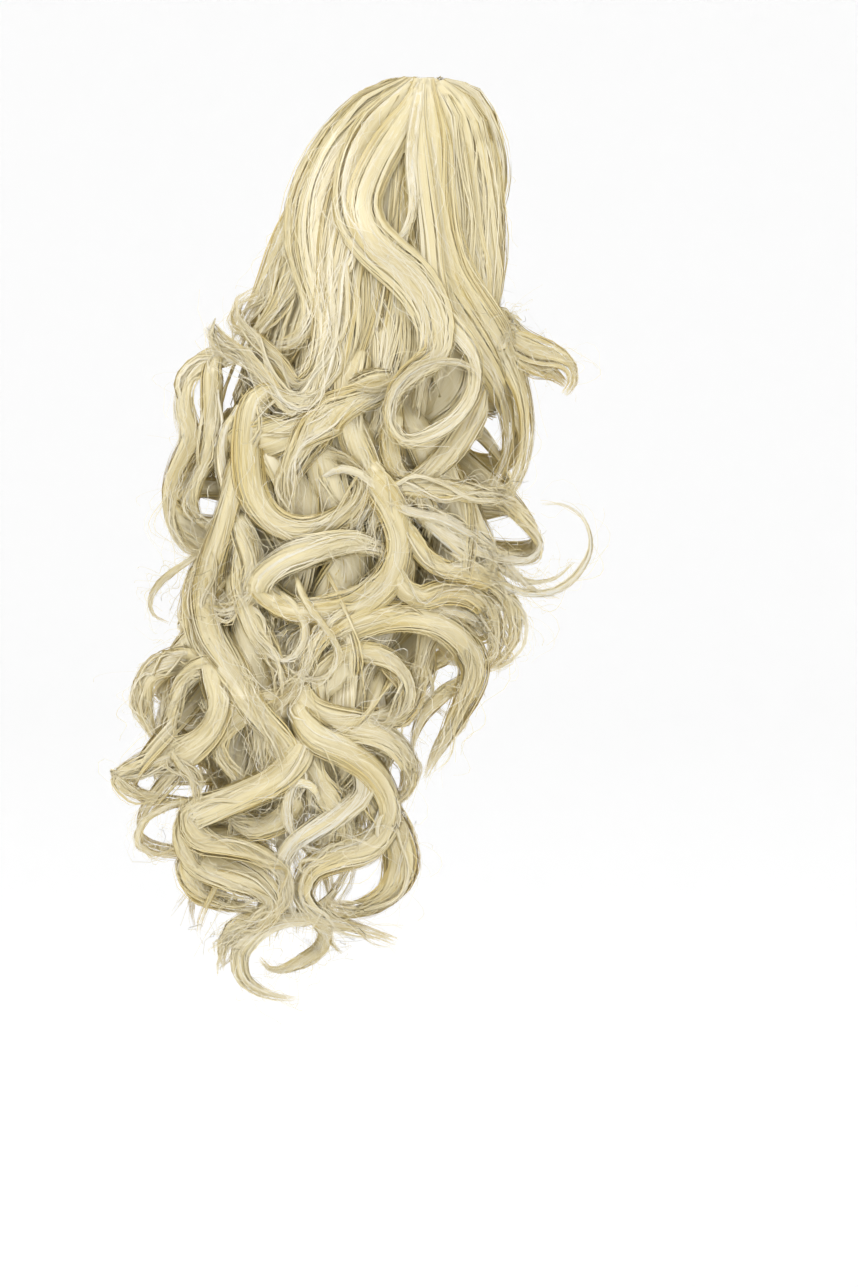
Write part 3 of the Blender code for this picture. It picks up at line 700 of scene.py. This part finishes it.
def read_line(line, own):
    """The lock's points, side, out and curl at each fibre's own shares of its length."""
    points, side, out, curled = line
    last = len(points) - 1
    low = np.floor(own * last).astype(int).clip(0, last - 1)
    part = (own * last - low)[..., None]
    rows = np.concatenate((points, side, out, curled[:, None]), axis=1)
    rows = rows[low] * (1 - part) + rows[low + 1] * part
    return rows[..., :3], rows[..., 3:6], rows[..., 6:9], rows[..., 9]


def fibres_on(line, width, count, tone, coarse, rng):
    """The fibres of one lock as (points, sideways, normals, widths, tones)."""
    length = np.linalg.norm(np.diff(line[0], axis=0), axis=1).sum()
    straight = 1 - line[3].mean()
    stations = int(np.clip(length / (FIBRE_STEP * coarse * (1 + straight)), 12, 80))
    share = np.broadcast_to(np.linspace(0, 1, stations), (count, stations))
    own = share * (1 - np.abs(rng.normal(0, 0.07, (count, 1))).clip(0, 0.25))
    centre, side, out, curl = read_line(line, own)
    strands = max(3, round(STRAND_CROWD * width / STRAND_WIDTH))
    strand = rng.integers(0, strands, count)
    strand_place = (np.arange(strands) + rng.uniform(-0.3, 0.3, strands)) / strands * 2 * math.pi
    strand_bulge = 1.0 + STRAND_BULGE * waves(rng, strands, share[:1], 7.0, 17.0)
    strand_drift = STRAND_DRIFT * waves(rng, strands, share[:1], 5.0, 11.0)
    turn = strand_place[strand][:, None] + rng.normal(0, 1.6 / strands, (count, 1))
    turn = turn + strand_drift[strand] + rng.choice((-1, 1)) * LOCK_TWIST * share * curl
    reach = strand_bulge[strand] * (1 + np.abs(rng.normal(0, 0.03, (count, 1))))
    stray = np.where(rng.random((count, 1)) < LOOSE_SHARE, 3.0, 0.7) * (0.15 + 0.85 * curl) * (0.3 + own)
    half, thick = half_sizes(width, own, curl, 0.72)
    half = half * (1.25 - 0.25 * curl)
    fray = 1 + np.abs(rng.normal(0, 0.14, (count, 1))) * (0.5 + own)
    wide = half * reach * fray * np.cos(turn) + waves(rng, count, share, 12.0, 33.0) * 0.0005 * stray
    deep = thick * reach * np.sin(turn) + waves(rng, count, share, 11.0, 31.0) * 0.0004 * stray
    placed = kept_clear(centre + side * wide[..., None] + out * deep[..., None])
    lean = np.arctan2(np.sin(turn) * half, np.cos(turn) * thick) + rng.normal(0, 0.05, (count, 1))
    sideways = out * np.cos(lean)[..., None] - side * np.sin(lean)[..., None]
    round_share = ROUND_LOOK * (0.4 + 0.6 * curl)
    normals = unit(side * (np.cos(turn) * round_share)[..., None] + out * np.sin(turn)[..., None])
    fine = 1 - 0.75 * ease((share - 0.72) / 0.28)
    widths = FIBRE_WIDTH * coarse * rng.uniform(0.55, 1.25, (count, 1)) * fine
    strand_tone = rng.normal(rng.normal(tone, 0.05), 0.055, strands)
    tones = (strand_tone[strand] + rng.normal(0, 0.085, count))[:, None]
    # Painted shade and highlight: fibres at a lock's edges are painted darker and more golden, those on its
    # broad faces paler, and a slow wave shared by a curled lock's fibres paints paler and deeper bands
    # along its bends.
    tones = tones + 0.07 - 0.20 * np.cos(turn) ** 2 + 0.10 * curl * waves(rng, 1, own * length, 85.0, 140.0)
    tones = tones.clip(0.03, 0.97)
    return placed, sideways, normals, widths, tones


def stray_fibres(locks, count, reach, rng):
    """Single fibres that leave their lock and curve away: (points, sideways, normals, widths, tones)."""
    gathered = []
    for _ in range(count):
        line, _ = locks[rng.integers(len(locks))]
        start = rng.uniform(0.05, 0.75)
        share = np.linspace(0, 1, STRAY_STATIONS)[None]
        own = start + share * min(rng.uniform(0.15, 0.45), 1 - start)
        centre, side, out, _ = read_line(line, own)
        away = min(abs(rng.normal(0, reach)), STRAY_MOST) * (0.1 + 0.9 * ease(share * 1.3))
        off = rng.uniform(-1.3, 1.3) * share**1.5
        wide = away * (off + waves(rng, 1, share, rng.uniform(3, 9), 14.0))
        rise = 0.4 + rng.uniform(0, 0.9) * share**1.5
        deep = away * (rise + 0.7 * waves(rng, 1, share, rng.uniform(3, 9), 14.0))
        placed = kept_clear(centre + side * wide[..., None] + out * deep[..., None])
        widths = STRAY_WIDTH * rng.uniform(0.7, 1.2) * (1 - 0.5 * share)
        gathered.append((placed, -side, out, widths, np.full((1, STRAY_STATIONS), rng.uniform(0.4, 0.9))))
    return [np.concatenate(rows) for rows in zip(*gathered, strict=True)]


def lay_fibres(name, locks, per_metre, tone, seed, coarse=1.0, strands=(), strays=0, reach=0.006):
    """One object with the fibres of all those locks, and the strands and fibres that stray from them."""
    rng = np.random.default_rng(seed)
    parts = []
    for line, width in (*locks, *strands):
        # Thin locks are painted paler here, as painted light shining through them.
        painted_glow_tone = tone + 0.2 * math.exp(-width / THIN_LOCK_GLOW_WIDTH)
        parts.append(ribbons(*fibres_on(line, width, int(3 + per_metre * width), painted_glow_tone, coarse, rng)))
    if strays:
        parts.append(ribbons(*stray_fibres(locks, strays, reach, rng)))
    starts = np.cumsum([0] + [len(part[0]) for part in parts])
    faces = np.concatenate([part[1] + start for part, start in zip(parts, starts, strict=False)])
    verts, uvs, normals = (np.concatenate([part[i] for part in parts]) for i in (0, 2, 3))
    return mesh_from(name, verts, faces, uvs, fibre_finish, normals)


fibre_finish = fibre_material("heat_set_polyester_fibre", 30.0, 0.3, None)
parted = [parted_strands(table, lock_rng) for table in (LOCKS_OF_LEFT, LOCKS_OF_MIDDLE, LOCKS_OF_TIPS)]
lay_fibres("fibres_of_dome_locks", of_dome, 9000, 0.50, 11, strays=500, reach=0.005)
lay_fibres("fibres_of_left_locks", of_left, 7500, 0.43, 12, strands=parted[0], strays=650, reach=0.009)
lay_fibres("fibres_of_middle_locks", of_middle, 7500, 0.40, 13, strands=parted[1], strays=700, reach=0.009)
lay_fibres("fibres_of_tip_locks", of_tips, 7500, 0.43, 14, strands=parted[2], strays=650, reach=0.008)
lay_fibres("fibres_of_pale_locks", of_pale, 9000, 0.64, 19, strays=250, reach=0.008)
lay_fibres("fibres_of_far_locks", far, 3800, 0.42, 15, 1.3, strays=300, reach=0.007)
# The fibres of the inner locks and of the locks beneath are set paler (0.50) than those of the shown curls
# (0.40 to 0.43), as painted light that lifts the shade in the gaps.
lay_fibres("fibres_of_inner_locks", inner, 2000, 0.50, 16, 1.6)
lay_fibres("fibres_of_locks_beneath", beneath, 4800, 0.50, 18, strays=250, reach=0.007)
lay_fibres("fibres_under_dome", under, 3600, 0.52, 17, 1.5)


# The studio: a pale seamless floor that curves up into a round backdrop, a large soft light over the
# camera's left shoulder, weaker ones at the right and overhead, and a bright pale surround.

FLOOR_DROP = 0.20  # below the tail's lowest tip
STUDIO_RADIUS = 7.0
STUDIO_WHITE = "#FFFFFF"

floor_level = packed_box[0][2] - FLOOR_DROP
profile = [(0.0, 0.0), (STUDIO_RADIUS - 2.0, 0.0)]
profile += [
    (STUDIO_RADIUS - 2.0 + 2.0 * math.sin(a), 2.0 - 2.0 * math.cos(a))
    for a in (math.pi / 2 * i / 12 for i in range(1, 13))
]
profile.append((STUDIO_RADIUS, 5.0))
backdrop = bmesh.new()
edge_points = [backdrop.verts.new((x, 0.0, floor_level + z)) for x, z in profile]
edges = [backdrop.edges.new(pair) for pair in zip(edge_points, edge_points[1:], strict=False)]
bmesh.ops.spin(
    backdrop,
    geom=edge_points + edges,
    cent=(0, 0, 0),
    axis=(0, 0, 1),
    angle=2 * math.pi,
    steps=96,
    use_merge=True,
)
bmesh.ops.remove_doubles(backdrop, verts=backdrop.verts, dist=1e-5)
bmesh.ops.recalc_face_normals(backdrop, faces=backdrop.faces)
bmesh.ops.reverse_faces(backdrop, faces=backdrop.faces)
mesh = bpy.data.meshes.new("studio_floor")
backdrop.to_mesh(mesh)
backdrop.free()
mesh.polygons.foreach_set("use_smooth", np.ones(len(mesh.polygons), dtype=bool))
studio = bpy.data.objects.new("studio_floor", mesh)
bpy.context.scene.collection.objects.link(studio)
paper, tree, shader = new_material("matt_studio_paper")
shader.inputs["Base Color"].default_value = linear(STUDIO_WHITE)
shader.inputs["Roughness"].default_value = 0.9
studio.data.materials.append(paper)

bpy.context.scene.view_settings.view_transform = "Standard"
world = bpy.data.worlds.new("studio_surround")
bpy.context.scene.world = world
world.use_nodes = True
world.node_tree.nodes["Background"].inputs["Color"].default_value = linear("#FFFFFF")
world.node_tree.nodes["Background"].inputs["Strength"].default_value = 1.0

CAMERA_FAR = 2.6
CAMERA_RISE = math.radians(3)

view_from = Vector((*(TOWARD[:2] * math.cos(CAMERA_RISE)), math.sin(CAMERA_RISE)))
view_right = Vector(ACROSS)
view_up = view_from.cross(view_right)
middle_pixel = (FRAME_PIXELS[0] / 2, FRAME_PIXELS[1] / 2)
aim = view_right * (middle_pixel[0] - SEAT_PIXEL[0]) * PIXEL
aim -= view_up * (middle_pixel[1] - SEAT_PIXEL[1]) * PIXEL
aim += view_from * view_from.dot(Vector(BACK)) * TAIL_BACK
camera = bpy.data.cameras.new("camera")
camera.sensor_fit = "VERTICAL"
camera.sensor_height = 24.0
camera.lens = camera.sensor_height * CAMERA_FAR / (FRAME_PIXELS[1] * PIXEL)
camera_stand = bpy.data.objects.new("camera", camera)
camera_stand.location = aim + view_from * CAMERA_FAR
camera_stand.rotation_euler = view_from.to_track_quat("Z", "Y").to_euler()
bpy.context.scene.collection.objects.link(camera_stand)
bpy.context.scene.camera = camera_stand


def softbox(name, away, height, size, power):
    """A square area light out from the tail, away being metres right of it and toward the camera."""
    light = bpy.data.lights.new(name, "AREA")
    light.size = size
    light.energy = power
    stand = bpy.data.objects.new(name, light)
    place = Vector(ACROSS * away[0] + TOWARD * away[1]) + Vector((0, 0, height))
    stand.location = place
    stand.rotation_euler = (place - Vector((0, -0.07, -0.15))).to_track_quat("Z", "Y").to_euler()
    bpy.context.scene.collection.objects.link(stand)


softbox("key_softbox", (-0.9, 1.4), 1.1, 0.6, 8.5)
softbox("fill_softbox", (1.8, 1.0), 0.5, 1.0, 4.5)
softbox("top_softbox", (0.2, -0.6), 2.0, 1.2, 2.5)
